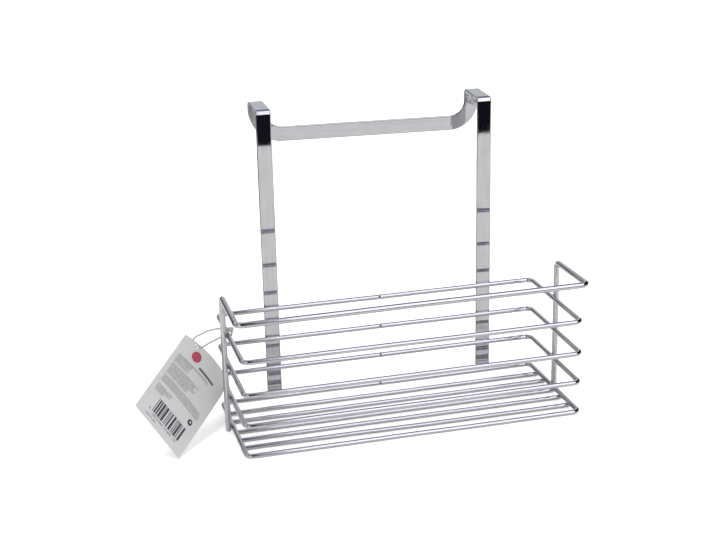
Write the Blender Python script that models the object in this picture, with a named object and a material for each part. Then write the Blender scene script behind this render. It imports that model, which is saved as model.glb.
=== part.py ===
"""Hanging shower caddy: a chromed wire basket, welded to a flat-bar hanger that hooks over a door.

The basket is four closed wire loops one above the other, a thicker rail whose two ends run
down the sides as posts, and five floor wires. The hanger is one bar: two legs up the back, a
hook over the door's top edge on each, and a crossbar behind the door. A swing tag hangs on the
upper loop's left side wire by a moulded plastic loop.

Basket frame, used below: x to the right from the basket's middle, y towards the door from the
back wires' centre line, z up from the bottom loop's centre line. The empty "caddy" carries that
frame, placed so that the world origin is the middle of the crossbar's door-side face.
"""

import math

import bmesh
import bpy
from mathutils import Matrix, Vector

MM = 0.001

# Wire sizes
LOOP_WIRE = 4.4 * MM
RAIL_WIRE = 5.2 * MM
FLOOR_WIRE = 4.0 * MM
WELD_GAP = 0.3 * MM

# Basket
BASKET_HALF_WIDTH = 149.8 * MM
BASKET_DEPTH = 117.25 * MM
MIDDLE_LOOP_EXTRA_DEPTH = 1.2 * MM
LOOP_HEIGHTS = {
    "bottom_loop": 0.0,
    "lower_loop": 28.5 * MM,
    "middle_loop": 57.0 * MM,
    "upper_loop": 85.8 * MM,
}
# How far each loop's front left and front right corners stand above its back wire
LOOP_FRONT_RISE = {
    "bottom_loop": (0.9 * MM, 0.4 * MM),
    "middle_loop": (-0.4 * MM, -0.4 * MM),
}
LOOP_BEND = 5.5 * MM
FLOOR_WIRE_HEIGHT = -3.2 * MM
FLOOR_WIRE_HALF_LENGTH = 150.5 * MM
FLOOR_WIRE_ENDS = (
    (-18.2 * MM, -17.9 * MM),
    (-36.5 * MM, -35.7 * MM),
    (-58.5 * MM, -58.3 * MM),
    (-75.0 * MM, -75.0 * MM),
    (-91.3 * MM, -94.0 * MM),
)

# Rail and posts
POST_LEFT = (-154.1 * MM, -53.0 * MM)
POST_RIGHT = (153.5 * MM, -51.2 * MM)
POST_FOOT = -3.2 * MM
POST_LEFT_TOP = 121.7 * MM
POST_RIGHT_TOP = 119.2 * MM
RAIL_FRONT_LEFT = 119.95 * MM
RAIL_FRONT_RIGHT = 120.65 * MM
RAIL_FRONT = -119.7 * MM
RAIL_BEND = 5.5 * MM

# Hanger bar
BAR_WIDTH = 13.6 * MM
BAR_THICKNESS = 2.0 * MM
BAR_EDGE = 0.35 * MM
LEG_LEFT = -100.2 * MM
LEG_RIGHT = 102.5 * MM
LEG_Y = 3.5 * MM
LEG_FOOT = 5.0 * MM
HOOK_DEPTH = 35.7 * MM
HOOK_TOP_LEFT = 267.8 * MM
HOOK_TOP_RIGHT = 264.05 * MM
HOOK_FRONT_BEND = 3.7 * MM
HOOK_BACK_BEND = 2.1 * MM
HOOK_TILT = math.radians(2.2)
CROSSBAR_LEFT = 236.9 * MM
CROSSBAR_RIGHT = 234.0 * MM
CROSSBAR_BEND_LEFT = 25.0 * MM
CROSSBAR_BEND_RIGHT = 20.0 * MM

# Swing tag
CARD_WIDTH = 63.0 * MM
CARD_HEIGHT = 90.0 * MM
CARD_THICKNESS = 0.4 * MM
CARD_FOOT = (-204.1 * MM, -91.3 * MM, -4.7 * MM)
CARD_ACROSS = (0.5245, -0.0070, -0.8514)
CARD_DOWN = (-0.5986, -0.7142, -0.3629)
CARD_SLOPE = 0.519
CARD_CURVATURE = 13.7
CARD_FADE = 1.54
CURL_START = 39.5 * MM
CURL_RADIUS = 9.0 * MM
CURL_ANGLE = 0.575
CURL_AXIS = (0.616, 0.788)
HOLE_ACROSS = 14.0 * MM
HOLE_DOWN = 3.4 * MM
HOLE_DIAMETER = 3.6 * MM
THREAD = 1.6 * MM
LOCK_FRONT = -50.2 * MM
LOCK_BACK = -47.6 * MM

WORLD_ORIGIN = Vector(
    (0.0, LEG_Y + HOOK_DEPTH - BAR_THICKNESS / 2, (CROSSBAR_LEFT + CROSSBAR_RIGHT) / 2)
)


def clear_scene():
    for obj in list(bpy.data.objects):
        bpy.data.objects.remove(obj, do_unlink=True)


def material(name, colour, roughness, metallic, transmission=0.0):
    made = bpy.data.materials.new(name)
    made.use_nodes = True
    shader = made.node_tree.nodes["Principled BSDF"]
    shader.inputs["Base Color"].default_value = (*colour, 1.0)
    shader.inputs["Roughness"].default_value = roughness
    shader.inputs["Metallic"].default_value = metallic
    shader.inputs["Transmission Weight"].default_value = transmission
    made.diffuse_color = (*colour, 1.0)
    return made


def place(obj, parent, location=(0.0, 0.0, 0.0)):
    bpy.context.scene.collection.objects.link(obj)
    obj.parent = parent
    obj.location = location
    return obj


def mesh_object(name, bm, mat, sharp=math.radians(40)):
    bmesh.ops.recalc_face_normals(bm, faces=bm.faces[:])
    mesh = bpy.data.meshes.new(name)
    bm.to_mesh(mesh)
    bm.free()
    mesh.shade_smooth()
    mesh.set_sharp_from_angle(angle=sharp)
    mesh.materials.append(mat)
    return bpy.data.objects.new(name, mesh)


def rounded(corners, radius, steps, closed=False):
    """The path through the corners, with each corner bent to the radius."""
    points = [Vector(corner) for corner in corners]
    count = len(points)
    path = [] if closed else [points[0]]
    for i in range(count) if closed else range(1, count - 1):
        before = (points[i - 1] - points[i]).normalized()
        after = (points[(i + 1) % count] - points[i]).normalized()
        angle = before.angle(after)
        centre = points[i] + (before + after).normalized() * (
            radius / math.sin(angle / 2)
        )
        start = points[i] + before * (radius / math.tan(angle / 2)) - centre
        end = points[i] + after * (radius / math.tan(angle / 2)) - centre
        turn = math.pi - angle
        for k in range(steps + 1):
            t = k / steps
            path.append(
                centre
                + start * (math.sin((1 - t) * turn) / math.sin(turn))
                + end * (math.sin(t * turn) / math.sin(turn))
            )
    if not closed:
        path.append(points[-1])
    return path


def round_wire(name, path, diameter, mat, closed=False, resolution=4):
    """A round wire along the path, as a mesh: a bevelled curve with filled ends."""
    curve = bpy.data.curves.new(name, "CURVE")
    curve.dimensions = "3D"
    spline = curve.splines.new("POLY")
    spline.points.add(len(path) - 1)
    for point, at in zip(spline.points, path):
        point.co = (*at, 1.0)
    spline.use_cyclic_u = closed
    curve.bevel_depth = diameter / 2
    curve.bevel_resolution = resolution
    curve.use_fill_caps = not closed
    holder = bpy.data.objects.new(name + "_path", curve)
    bpy.context.scene.collection.objects.link(holder)
    graph = bpy.context.evaluated_depsgraph_get()
    made = bpy.data.meshes.new_from_object(holder.evaluated_get(graph))
    bpy.data.objects.remove(holder, do_unlink=True)
    bpy.data.curves.remove(curve)
    bm = bmesh.new()
    bm.from_mesh(made)
    bpy.data.meshes.remove(made)
    bmesh.ops.remove_doubles(bm, verts=bm.verts[:], dist=1e-6)
    return mesh_object(name, bm, mat)


def rod(name, centre, axis, radius, length, segments=24):
    """A plain cylinder that stands in for a neighbour when a weld seat or a hole is cut."""
    bm = bmesh.new()
    turn = Vector((0, 0, 1)).rotation_difference(Vector(axis)).to_matrix().to_4x4()
    bmesh.ops.create_cone(
        bm,
        cap_ends=True,
        segments=segments,
        radius1=radius,
        radius2=radius,
        depth=length,
        matrix=Matrix.Translation(centre) @ turn,
    )
    bmesh.ops.recalc_face_normals(bm, faces=bm.faces[:])
    mesh = bpy.data.meshes.new(name)
    bm.to_mesh(mesh)
    bm.free()
    obj = bpy.data.objects.new(name, mesh)
    obj.hide_render = True
    obj.display_type = "WIRE"
    return obj


def boolean(obj, other, operation="DIFFERENCE"):
    modifier = obj.modifiers.new(operation.title() + "_" + other.name, "BOOLEAN")
    modifier.operation = operation
    modifier.object = other
    modifier.solver = "EXACT"


def bar_stations():
    """Centre, width direction and thickness direction of the bar, from the left leg's foot
    over the door, along the crossbar and back to the right leg's foot. The hooks' plates rise
    towards the back, and the part behind them leans with them down to the upright crossbar."""

    def half(x, side, top, bar_height, bend):
        """One leg, hook and quarter bend, ending level on the crossbar. side is +1 at the left."""
        wide = Vector((1, 0, 0))
        back, tilt = LEG_Y + HOOK_DEPTH, HOOK_TILT
        rf, rb = HOOK_FRONT_BEND, HOOK_BACK_BEND
        zb = top - rb
        yb = back - math.tan(tilt) * (zb + rb * math.sin(tilt) - bar_height) - rb * math.cos(tilt)
        yf = LEG_Y + rf
        zf = zb - (rf - rb + (yb - yf) * math.sin(tilt)) / math.cos(tilt)
        stations = [(Vector((x, LEG_Y, LEG_FOOT)), wide, Vector((0, -1, 0)))]
        for k in range(7):
            a = (math.pi / 2 - tilt) * k / 6
            out = Vector((0, -math.cos(a), math.sin(a)))
            stations.append((Vector((x, yf, zf)) + out * rf, wide, out))
        for k in range(7):
            a = math.pi / 2 * k / 6 - tilt
            out = Vector((0, math.sin(a), math.cos(a)))
            stations.append((Vector((x, yb, zb)) + out * rb, wide, out))
        steps = 14
        climb = Vector((0, -math.sin(tilt), math.cos(tilt)))
        for k in range(steps + 1):
            a = math.pi / 2 * k / steps
            here = tilt * (1 - k / steps)
            thick = Vector((0, math.cos(here), math.sin(here)))
            up = Vector((0, -math.sin(here), math.cos(here)))
            at = Vector((x + side * bend * (1 - math.cos(a)), back, bar_height))
            at += climb * (bend * (1 - math.sin(a)))
            radial = Vector((-side * math.cos(a), 0, 0)) - up * math.sin(a)
            stations.append((at, -side * radial, thick))
        return stations

    left = half(LEG_LEFT, 1, HOOK_TOP_LEFT, CROSSBAR_LEFT, CROSSBAR_BEND_LEFT)
    right = half(LEG_RIGHT, -1, HOOK_TOP_RIGHT, CROSSBAR_RIGHT, CROSSBAR_BEND_RIGHT)
    # Seen along the bar, the section turns over at the crossbar, so the right half is reversed.
    return left + [(at, -wide, thick) for at, wide, thick in reversed(right)]


def flat_bar(name, mat):
    w, t, e = BAR_WIDTH / 2, BAR_THICKNESS / 2, BAR_EDGE
    section = (
        (w - e, t),
        (-w + e, t),
        (-w, t - e),
        (-w, -t + e),
        (-w + e, -t),
        (w - e, -t),
        (w, -t + e),
        (w, t - e),
    )
    bm = bmesh.new()
    rings = []
    for at, wide, thick in bar_stations():
        rings.append([bm.verts.new(at + wide * u + thick * v) for u, v in section])
    for first, second in zip(rings, rings[1:]):
        for i in range(len(section)):
            j = (i + 1) % len(section)
            bm.faces.new((first[i], first[j], second[j], second[i]))
    bm.faces.new(rings[0])
    bm.faces.new(list(reversed(rings[-1])))
    return mesh_object(name, bm, mat, math.radians(30))


def card_point(across, down):
    """A point on the card's middle surface. The card is flat at its foot, arched along its
    top edge, and its right corner curls back where it leans on the basket's side."""
    e, g = Vector(CARD_ACROSS).normalized(), Vector(CARD_DOWN).normalized()
    face = g.cross(e).normalized()
    over = Vector((CURL_AXIS[1], -CURL_AXIS[0]))
    beyond = max(across * over.x + down * over.y - CURL_START, 0.0)
    arc = CURL_RADIUS * CURL_ANGLE
    if beyond < arc:
        advance = CURL_RADIUS * math.sin(beyond / CURL_RADIUS)
        back = CURL_RADIUS * (1 - math.cos(beyond / CURL_RADIUS))
    else:
        advance = CURL_RADIUS * math.sin(CURL_ANGLE) + (beyond - arc) * math.cos(CURL_ANGLE)
        back = CURL_RADIUS * (1 - math.cos(CURL_ANGLE)) + (beyond - arc) * math.sin(
            CURL_ANGLE
        )
    fade = max(1 - down / CARD_HEIGHT, 0.0) ** CARD_FADE
    slope, bend = CARD_SLOPE, CARD_CURVATURE
    rise = (slope * across - bend / 2 * across**2) * fade
    shorter = (
        (slope**2 * across - slope * bend * across**2 + bend**2 * across**3 / 3)
        * fade**2
        / 2
    )
    slip = advance - beyond
    return (
        Vector(CARD_FOOT)
        + e * (across - CARD_WIDTH - shorter + slip * over.x)
        + g * (down - CARD_HEIGHT + slip * over.y)
        + face * (rise - back)
    )


def card_normal(across, down):
    d = 0.25 * MM
    u = card_point(across + d, down) - card_point(across - d, down)
    v = card_point(across, down + d) - card_point(across, down - d)
    return v.cross(u).normalized()


def swing_card(name, mat, hinge):
    columns, rows = 21, 18
    bm = bmesh.new()
    front, back = {}, {}
    for i in range(columns + 1):
        for j in range(rows + 1):
            a = CARD_WIDTH * i / columns
            d = CARD_HEIGHT * j / rows
            normal = card_normal(
                min(max(a, MM), CARD_WIDTH - MM), min(max(d, MM), CARD_HEIGHT - MM)
            )
            at = card_point(a, d) - hinge
            front[i, j] = bm.verts.new(at + normal * (CARD_THICKNESS / 2))
            back[i, j] = bm.verts.new(at - normal * (CARD_THICKNESS / 2))
    for i in range(columns):
        for j in range(rows):
            bm.faces.new((front[i, j], front[i, j + 1], front[i + 1, j + 1], front[i + 1, j]))
            bm.faces.new((back[i, j], back[i + 1, j], back[i + 1, j + 1], back[i, j + 1]))
    rim = (
        [(i, 0) for i in range(columns)]
        + [(columns, j) for j in range(rows)]
        + [(i, rows) for i in range(columns, 0, -1)]
        + [(0, j) for j in range(rows, 0, -1)]
    )
    for k, here in enumerate(rim):
        there = rim[(k + 1) % len(rim)]
        bm.faces.new((front[here], front[there], back[there], back[here]))
    return mesh_object(name, bm, mat, math.radians(50))


def smooth_ring(points, per_span):
    """A closed Catmull-Rom curve through the points."""
    count = len(points)
    path = []
    for i in range(count):
        p0, p1, p2, p3 = (points[(i + k - 1) % count] for k in range(4))
        for k in range(per_span):
            t = k / per_span
            path.append(
                0.5
                * (
                    2 * p1
                    + (p2 - p0) * t
                    + (2 * p0 - 5 * p1 + 4 * p2 - p3) * t**2
                    + (3 * p1 - p0 - 3 * p2 + p3) * t**3
                )
            )
    return path


def thread_route():
    """The plastic loop's own points: through the card's hole, over and under the side wire
    just behind the left post, and closed in the lock head on the basket's inner side."""
    hole = card_point(HOLE_ACROSS, HOLE_DOWN)
    out = card_normal(HOLE_ACROSS, HOLE_DOWN)
    under = (
        (-170.6, -36.6, 71.8),
        (-165.3, -39.2, 75.6),
        (-160.5, -43.2, 79.4),
        (-157.0, -46.6, 82.4),
        (-154.0, -48.4, 83.2),
        (-151.0, -48.9, 82.8),
        (-148.0, -48.9, 83.1),
        (-146.3, -48.9, 85.0),
        (-146.2, -48.9, 87.8),
    )
    over = (
        (-148.4, -48.9, 90.2),
        (-151.8, -48.8, 91.1),
        (-155.1, -48.0, 91.4),
        (-159.3, -44.4, 90.1),
        (-165.0, -38.6, 87.0),
        (-170.5, -33.2, 82.6),
        (-174.5, -28.6, 79.0),
        (-176.7, -26.6, 75.6),
        (-177.3, -27.6, 72.6),
    )
    points = [hole, hole + out * (2.0 * MM)]
    points += [Vector(p) * MM for p in under]
    points += [Vector(p) * MM for p in over]
    points += [hole - out * (2.0 * MM)]
    return points


def lock_head(name, pivot):
    """The fastener's head: a small tapered block that sits over the side wire."""
    outline = (
        (-152.2, 91.9),
        (-152.0, 89.0),
        (-148.6, 88.7),
        (-146.9, 86.8),
        (-145.6, 86.8),
        (-144.2, 90.6),
        (-144.6, 91.7),
    )
    bm = bmesh.new()
    front = [bm.verts.new(Vector((x * MM, LOCK_FRONT, z * MM)) - pivot) for x, z in outline]
    back = [bm.verts.new(Vector((x * MM, LOCK_BACK, z * MM)) - pivot) for x, z in outline]
    bm.faces.new(front)
    bm.faces.new(list(reversed(back)))
    for i in range(len(outline)):
        j = (i + 1) % len(outline)
        bm.faces.new((front[j], front[i], back[i], back[j]))
    bmesh.ops.recalc_face_normals(bm, faces=bm.faces[:])
    bmesh.ops.bevel(
        bm,
        geom=bm.edges[:],
        offset=0.3 * MM,
        segments=1,
        affect="EDGES",
    )
    mesh = bpy.data.meshes.new(name)
    bm.to_mesh(mesh)
    bm.free()
    obj = bpy.data.objects.new(name, mesh)
    obj.hide_render = True
    obj.display_type = "WIRE"
    return obj


def main():
    clear_scene()
    caddy = bpy.data.objects.new("caddy", None)
    caddy.empty_display_size = 0.02
    bpy.context.scene.collection.objects.link(caddy)
    caddy.location = -WORLD_ORIGIN

    # Cut shapes: the post where each loop's side wire is welded to it, and the bottom loop's
    # side wires where the floor wires are welded under them.
    posts = [
        place(
            rod(
                "weld_seat_post_" + side,
                (x, y, 50 * MM),
                (0, 0, 1),
                RAIL_WIRE / 2 + WELD_GAP,
                140 * MM,
            ),
            caddy,
        )
        for side, (x, y) in (("left", POST_LEFT), ("right", POST_RIGHT))
    ]
    sides = [
        place(
            rod(
                "weld_seat_side_" + side,
                (x, -BASKET_DEPTH / 2, 0),
                (0, 1, 0),
                LOOP_WIRE / 2 + WELD_GAP,
                BASKET_DEPTH,
            ),
            caddy,
        )
        for side, x in (("left", -BASKET_HALF_WIDTH), ("right", BASKET_HALF_WIDTH))
    ]

    # Loops
    w = BASKET_HALF_WIDTH
    for name, z in LOOP_HEIGHTS.items():
        deep = BASKET_DEPTH + (MIDDLE_LOOP_EXTRA_DEPTH if name == "middle_loop" else 0)
        left, right = LOOP_FRONT_RISE.get(name, (0.0, 0.0))
        corners = [(-w, 0, z), (w, 0, z), (w, -deep, z + right), (-w, -deep, z + left)]
        loop = round_wire(
            name,
            rounded(corners, LOOP_BEND, 7, closed=True),
            LOOP_WIRE,
            material(name, (0.62, 0.62, 0.64), 0.12, 1.0),
            closed=True,
        )
        place(loop, caddy)
        for post in posts:
            boolean(loop, post)

    # Floor wires
    for number, (y_left, y_right) in enumerate(FLOOR_WIRE_ENDS, 1):
        name = f"floor_wire_{number}"
        wire = round_wire(
            name,
            [
                Vector((-FLOOR_WIRE_HALF_LENGTH, y_left, FLOOR_WIRE_HEIGHT)),
                Vector((FLOOR_WIRE_HALF_LENGTH, y_right, FLOOR_WIRE_HEIGHT)),
            ],
            FLOOR_WIRE,
            material(name, (0.62, 0.62, 0.64), 0.12, 1.0),
        )
        place(wire, caddy)
        for side in sides:
            boolean(wire, side)

    # Rail with its two posts
    corners = [
        (*POST_LEFT, POST_FOOT),
        (*POST_LEFT, POST_LEFT_TOP),
        (POST_LEFT[0], RAIL_FRONT, RAIL_FRONT_LEFT),
        (POST_RIGHT[0], RAIL_FRONT, RAIL_FRONT_RIGHT),
        (*POST_RIGHT, POST_RIGHT_TOP),
        (*POST_RIGHT, POST_FOOT),
    ]
    place(
        round_wire(
            "top_rail",
            rounded(corners, RAIL_BEND, 7),
            RAIL_WIRE,
            material("top_rail", (0.62, 0.62, 0.64), 0.12, 1.0),
        ),
        caddy,
    )

    # Hanger
    place(
        flat_bar("hanger_strap", material("hanger_strap", (0.6, 0.6, 0.62), 0.2, 1.0)),
        caddy,
    )

    # Swing tag: the loop turns on the upper loop's left side wire, the card at its own hole.
    wire_axis = Vector((-BASKET_HALF_WIDTH, -48.9 * MM, LOOP_HEIGHTS["upper_loop"]))
    hinge = card_point(HOLE_ACROSS, HOLE_DOWN)
    clear = material("tag_loop", (0.8, 0.8, 0.8), 0.3, 0.0, 0.4)
    thread = round_wire(
        "tag_loop",
        [point - wire_axis for point in smooth_ring(thread_route(), 3)],
        THREAD,
        clear,
        closed=True,
        resolution=2,
    )
    place(thread, caddy, wire_axis)
    head = place(lock_head("tag_lock_shape", wire_axis), caddy, wire_axis)
    boolean(thread, head, "UNION")

    card = swing_card("tag_card", material("tag_card", (0.6, 0.6, 0.6), 0.6, 0.0), hinge)
    place(card, thread, hinge - wire_axis)
    punch = rod(
        "tag_hole_punch",
        (0, 0, 0),
        card_normal(HOLE_ACROSS, HOLE_DOWN),
        HOLE_DIAMETER / 2,
        6 * MM,
        20,
    )
    place(punch, thread, hinge - wire_axis)
    boolean(card, punch)


main()
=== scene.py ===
"""Looks of the hanging shower caddy: chromed wires and flat bar, a clear plastic loop and a printed swing tag.

Shapes are worked out in the basket frame (x from the basket's middle, y towards the door from the
back wires, z up from the bottom loop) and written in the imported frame, whose origin is ORIGIN.
"""

import math
import random

import bmesh
import bpy
from mathutils import Matrix, Vector


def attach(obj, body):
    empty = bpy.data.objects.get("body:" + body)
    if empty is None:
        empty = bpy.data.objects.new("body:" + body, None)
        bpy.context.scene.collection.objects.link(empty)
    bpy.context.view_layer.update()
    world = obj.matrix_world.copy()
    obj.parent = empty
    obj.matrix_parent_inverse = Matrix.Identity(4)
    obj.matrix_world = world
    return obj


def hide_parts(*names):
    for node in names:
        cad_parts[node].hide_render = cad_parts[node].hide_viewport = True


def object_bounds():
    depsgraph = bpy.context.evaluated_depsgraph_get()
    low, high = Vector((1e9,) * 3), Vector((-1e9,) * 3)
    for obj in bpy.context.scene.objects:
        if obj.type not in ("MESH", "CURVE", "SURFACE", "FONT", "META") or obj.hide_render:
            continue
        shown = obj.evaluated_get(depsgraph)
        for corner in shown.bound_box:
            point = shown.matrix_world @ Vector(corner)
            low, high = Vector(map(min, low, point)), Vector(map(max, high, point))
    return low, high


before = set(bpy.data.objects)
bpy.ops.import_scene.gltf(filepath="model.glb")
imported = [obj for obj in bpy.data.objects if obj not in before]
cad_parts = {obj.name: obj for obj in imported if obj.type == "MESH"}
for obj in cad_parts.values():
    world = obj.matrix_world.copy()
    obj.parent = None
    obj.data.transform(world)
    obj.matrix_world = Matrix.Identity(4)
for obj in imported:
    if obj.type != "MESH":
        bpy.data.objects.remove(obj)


def plain(corners):
    return [[float(value) for value in corner] for corner in corners]


cad_box = plain(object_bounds())

MM = 0.001
ORIGIN = Vector((0.0, 38.2 * MM, 235.45 * MM))

# ---------------------------------------------------------------- camera

CAMERA_AT = Vector((-0.33794, -1.19635, 0.53833)) - ORIGIN
CAMERA_YAW, CAMERA_PITCH, CAMERA_ROLL = (math.radians(a) for a in (14.94061, -18.93642, -1.2466))
CAMERA_LENS = 72.365
PICTURE_WIDTH = 716


def make_camera():
    forward = Vector(
        (
            math.sin(CAMERA_YAW) * math.cos(CAMERA_PITCH),
            math.cos(CAMERA_YAW) * math.cos(CAMERA_PITCH),
            math.sin(CAMERA_PITCH),
        )
    )
    level = Vector((math.cos(CAMERA_YAW), -math.sin(CAMERA_YAW), 0))
    upright = level.cross(forward)
    right = math.cos(CAMERA_ROLL) * level + math.sin(CAMERA_ROLL) * upright
    up = -math.sin(CAMERA_ROLL) * level + math.cos(CAMERA_ROLL) * upright
    lens = bpy.data.cameras.new("camera")
    lens.sensor_fit = "HORIZONTAL"
    lens.sensor_width = 36.0
    lens.lens = CAMERA_LENS
    lens.shift_x = -0.5 / PICTURE_WIDTH
    lens.shift_y = 0.5 / PICTURE_WIDTH
    lens.clip_start = 0.01
    lens.clip_end = 200.0
    camera = bpy.data.objects.new("camera", lens)
    bpy.context.scene.collection.objects.link(camera)
    turn = Matrix((right, up, -forward)).transposed().to_4x4()
    camera.matrix_world = Matrix.Translation(CAMERA_AT) @ turn
    bpy.context.scene.camera = camera


make_camera()

# ---------------------------------------------------------------- node helpers


class Nodes:
    """Builds a material's nodes from short calls."""

    def __init__(self, tree):
        self.tree = tree

    def new(self, kind, **inputs):
        node = self.tree.nodes.new(kind)
        for key, value in inputs.items():
            self.feed(node.inputs[key.replace("_", " ")], value)
        return node

    def feed(self, socket, value):
        if isinstance(value, bpy.types.NodeSocket):
            self.tree.links.new(value, socket)
        else:
            socket.default_value = value

    def math(self, operation, *values, clamp=False):
        node = self.tree.nodes.new("ShaderNodeMath")
        node.operation = operation
        node.use_clamp = clamp
        for socket, value in zip(node.inputs, values):
            self.feed(socket, value)
        return node.outputs[0]

    def between(self, value, low, high):
        return self.math(
            "MULTIPLY",
            self.math("GREATER_THAN", value, low),
            self.math("LESS_THAN", value, high),
        )

    def spread(self, value, low, high, to_low, to_high):
        node = self.tree.nodes.new("ShaderNodeMapRange")
        for socket, given in zip(node.inputs, (value, low, high, to_low, to_high)):
            self.feed(socket, given)
        return node.outputs[0]

    def noise(self, vector, scale, detail=2.0, roughness=0.5):
        node = self.tree.nodes.new("ShaderNodeTexNoise")
        self.feed(node.inputs["Vector"], vector)
        node.inputs["Scale"].default_value = scale
        node.inputs["Detail"].default_value = detail
        node.inputs["Roughness"].default_value = roughness
        return node.outputs["Fac"]

    def mix(self, factor, first, second):
        node = self.tree.nodes.new("ShaderNodeMix")
        node.data_type = "RGBA"
        self.feed(node.inputs["Factor"], factor)
        self.feed(node.inputs[6], first)
        self.feed(node.inputs[7], second)
        return node.outputs[2]

    def vector(self, x=0.0, y=0.0, z=0.0):
        node = self.tree.nodes.new("ShaderNodeCombineXYZ")
        for socket, value in zip(node.inputs, (x, y, z)):
            self.feed(socket, value)
        return node.outputs[0]

    def attribute(self, name):
        node = self.tree.nodes.new("ShaderNodeAttribute")
        node.attribute_name = name
        return node.outputs["Fac"]

    def bump(self, height, strength, distance, normal=None):
        node = self.tree.nodes.new("ShaderNodeBump")
        node.inputs["Strength"].default_value = strength
        node.inputs["Distance"].default_value = distance
        self.feed(node.inputs["Height"], height)
        if normal is not None:
            self.feed(node.inputs["Normal"], normal)
        return node.outputs["Normal"]


def new_material(name):
    made = bpy.data.materials.new(name)
    made.use_nodes = True
    shader = made.node_tree.nodes["Principled BSDF"]
    return made, Nodes(made.node_tree), shader


def place_of(nodes):
    return nodes.new("ShaderNodeTexCoord").outputs["Object"]


# ---------------------------------------------------------------- materials


def chromed_wire():
    """Bright chrome over drawn wire: a faint milky unevenness and a very fine orange peel."""
    made, n, shader = new_material("chromed_wire")
    at = place_of(n)
    cloud = n.noise(at, 45.0, 3.0)
    tint = n.mix(cloud, (0.50, 0.50, 0.525, 1), (0.60, 0.60, 0.615, 1))
    n.feed(shader.inputs["Base Color"], tint)
    shader.inputs["Metallic"].default_value = 1.0
    n.feed(shader.inputs["Roughness"], n.spread(n.noise(at, 130.0, 4.0), 0.3, 0.7, 0.05, 0.13))
    n.feed(shader.inputs["Normal"], n.bump(n.noise(at, 1400.0, 2.0), 0.05, 0.0002))
    return made


def chromed_bar():
    """Chromed flat steel: fine polishing lines along the bar, cloudy patches, and painted shade that darkens the edges.

    Above 0, bar_scuff is how scuffed the bar is; below 0, how stained.
    """
    made, n, shader = new_material("chromed_bar")
    along, across, marked, painted_edge_shade = (n.attribute("bar_" + name) for name in ("along", "across", "scuff", "painted_edge_shade"))
    scuff = n.math("MAXIMUM", marked, 0.0)
    stain = n.math("MAXIMUM", n.math("MULTIPLY", marked, -1.0), 0.0)
    lines = n.noise(
        n.vector(n.math("MULTIPLY", across, 2200.0), n.math("MULTIPLY", along, 3.0)), 1.0, 3.0
    )
    broad = n.noise(
        n.vector(n.math("MULTIPLY", across, 420.0), n.math("MULTIPLY", along, 14.0)), 1.0, 2.0
    )
    cloud = n.noise(n.vector(n.math("MULTIPLY", across, 90.0), n.math("MULTIPLY", along, 70.0)), 1.0, 3.0)
    tint = n.mix(
        n.math("MULTIPLY_ADD", broad, 0.6, n.math("MULTIPLY", cloud, 0.4)),
        (0.42, 0.42, 0.44, 1),
        (0.67, 0.67, 0.685, 1),
    )
    # Painted shade: the colour goes dark across the rounded edges of the bar, scaled by the per-point share read above.
    edge = n.math("MULTIPLY", painted_edge_shade, n.spread(n.math("ABSOLUTE", across), 6.1 * MM, 6.6 * MM, 0.0, 0.55))
    blot = n.noise(n.vector(n.math("MULTIPLY", across, 260.0), n.math("MULTIPLY", along, 420.0)), 1.0, 2.0)
    stain = n.math("MULTIPLY", stain, n.spread(blot, 0.40, 0.56, 0.10, 0.85))
    tint = n.mix(n.math("MAXIMUM", edge, stain), tint, (0.16, 0.16, 0.17, 1))
    n.feed(shader.inputs["Base Color"], tint)
    shader.inputs["Metallic"].default_value = 1.0
    rough = n.math("MULTIPLY_ADD", scuff, 0.22, n.spread(cloud, 0.3, 0.7, 0.018, 0.035))
    n.feed(shader.inputs["Roughness"], rough)
    n.feed(shader.inputs["Normal"], n.bump(lines, 0.10, 0.0001))
    return made


def weld_metal():
    made, n, shader = new_material("weld_metal")
    at = place_of(n)
    n.feed(
        shader.inputs["Base Color"],
        n.mix(n.noise(at, 300.0, 3.0), (0.40, 0.40, 0.42, 1), (0.56, 0.56, 0.58, 1)),
    )
    shader.inputs["Metallic"].default_value = 1.0
    n.feed(shader.inputs["Roughness"], n.spread(n.noise(at, 500.0, 3.0), 0.3, 0.7, 0.14, 0.28))
    n.feed(shader.inputs["Normal"], n.bump(n.noise(at, 900.0, 3.0), 0.25, 0.0003))
    return made


def clear_plastic():
    """Milky clear polypropylene."""
    made, n, shader = new_material("clear_plastic")
    at = place_of(n)
    n.feed(
        shader.inputs["Base Color"],
        n.mix(n.noise(at, 220.0, 2.0), (0.38, 0.40, 0.39, 1), (0.48, 0.50, 0.49, 1)),
    )
    n.feed(shader.inputs["Roughness"], n.spread(n.noise(at, 500.0, 2.0), 0.3, 0.7, 0.28, 0.42))
    shader.inputs["IOR"].default_value = 1.49
    shader.inputs["Transmission Weight"].default_value = 0.25
    n.feed(shader.inputs["Normal"], n.bump(n.noise(at, 1500.0, 2.0), 0.1, 0.0001))
    return made


def paper(name):
    """Coated white card with a fine tooth."""
    made, n, shader = new_material(name)
    a, d = n.attribute("card_across"), n.attribute("card_down")
    flat = n.vector(a, d)
    mottle = n.noise(flat, 160.0, 4.0)
    base = n.mix(mottle, (0.475, 0.475, 0.478, 1), (0.510, 0.510, 0.512, 1))
    fibre = n.noise(flat, 2600.0, 3.0)
    n.feed(shader.inputs["Roughness"], n.spread(mottle, 0.3, 0.7, 0.42, 0.55))
    n.feed(shader.inputs["Normal"], n.bump(fibre, 0.12, 0.0001))
    return made, n, shader, base


def plain_card():
    made, n, shader, base = paper("plain_card")
    n.feed(shader.inputs["Base Color"], base)
    return made


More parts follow.
